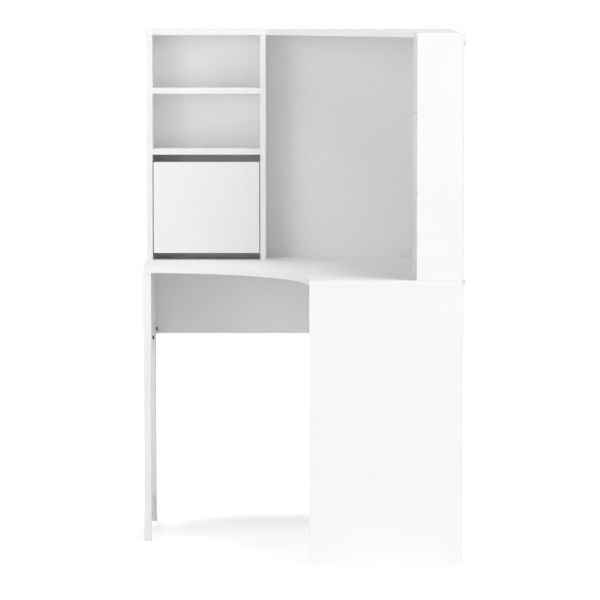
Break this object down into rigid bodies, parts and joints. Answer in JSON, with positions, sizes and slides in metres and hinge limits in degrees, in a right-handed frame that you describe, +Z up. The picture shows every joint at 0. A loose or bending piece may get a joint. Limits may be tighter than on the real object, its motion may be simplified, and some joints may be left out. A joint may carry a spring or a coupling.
{
  "type": "corner desk with hutch",
  "caption": "White corner desk with a curved front, a tall open shelf hutch with a small inset door, a cupboard under one wing and a steel tube leg frame under the other.",
  "frame": {"origin": "on the floor, at the middle of the whole object's footprint", "axes": "+X to the right along the rear wall, +Y to the rear wall, +Z up; the room corner is at +X +Y"},
  "size_m": [0.8706, 0.8706, 1.42],
  "materials": {
    "white_board": "satin white foil on particleboard",
    "back_board": "white painted hardboard",
    "white_steel": "satin white powder coat",
    "white_plastic": "matte",
    "dark_zinc": "dark zinc",
    "zinc": "zinc plated",
    "painted_washer": "satin",
    "beech": "bare beech"
  },
  "bodies": {
    "root": {"tabletop": "white_board", "left_side_panel": "white_board", "leg_frame": "white_steel", "leg_glides": "white_plastic", "leg_frame_bolts": "zinc", "leg_frame_barrel_nuts": "dark_zinc", "modesty_panel": "white_board", "right_wall_panel": "white_board", "cupboard_end_panel": "white_board", "cupboard_inner_panel": "white_board", "cupboard_floor_board": "white_board", "cupboard_plinth": "white_board", "cupboard_shelf": "white_board", "cupboard_shelf_pins": "zinc", "cupboard_door_stop": "white_plastic", "cupboard_upper_wall_leaf": "zinc", "cupboard_lower_wall_leaf": "zinc", "cupboard_wall_leaf_screws": "zinc", "hutch_left_end_panel": "white_board", "hutch_left_divider": "white_board", "hutch_upper_shelf": "white_board", "hutch_lower_shelf": "white_board", "hutch_door_stop": "white_plastic", "hutch_upper_wall_leaf": "zinc", "hutch_lower_wall_leaf": "zinc", "hutch_wall_leaf_screws": "zinc", "hutch_top_board": "white_board", "hutch_right_end_panel": "white_board", "hutch_right_divider": "white_board", "hutch_side_shelves": "white_board", "hutch_shelf_pins": "zinc", "rear_back_board": "back_board", "right_back_board": "back_board", "back_board_screws": "painted_washer", "cam_locks": "zinc", "cam_bolts": "zinc", "wooden_dowels": "beech"},
    "hutch_door": {"hutch_door": "white_board", "hutch_upper_door_leaf": "zinc", "hutch_upper_hinge_pin": "zinc", "hutch_lower_door_leaf": "zinc", "hutch_lower_hinge_pin": "zinc", "hutch_door_leaf_screws": "zinc"},
    "cupboard_door": {"cupboard_door": "white_board", "cupboard_upper_door_leaf": "zinc", "cupboard_upper_hinge_pin": "zinc", "cupboard_lower_door_leaf": "zinc", "cupboard_lower_hinge_pin": "zinc", "cupboard_door_leaf_screws": "zinc"}
  },
  "joints": [
    {"name": "hutch_door_hinge", "type": "hinge", "parent": "root", "child": "hutch_door", "pos_m": [-0.41175, 0.31275, 0.9145], "axis": [0, 0, -1], "range_deg": [0, 105]},
    {"name": "cupboard_door_hinge", "type": "hinge", "parent": "root", "child": "cupboard_door", "pos_m": [0.03175, -0.41175, 0.404], "axis": [0, 0, 1], "range_deg": [0, 95]}
  ]
}
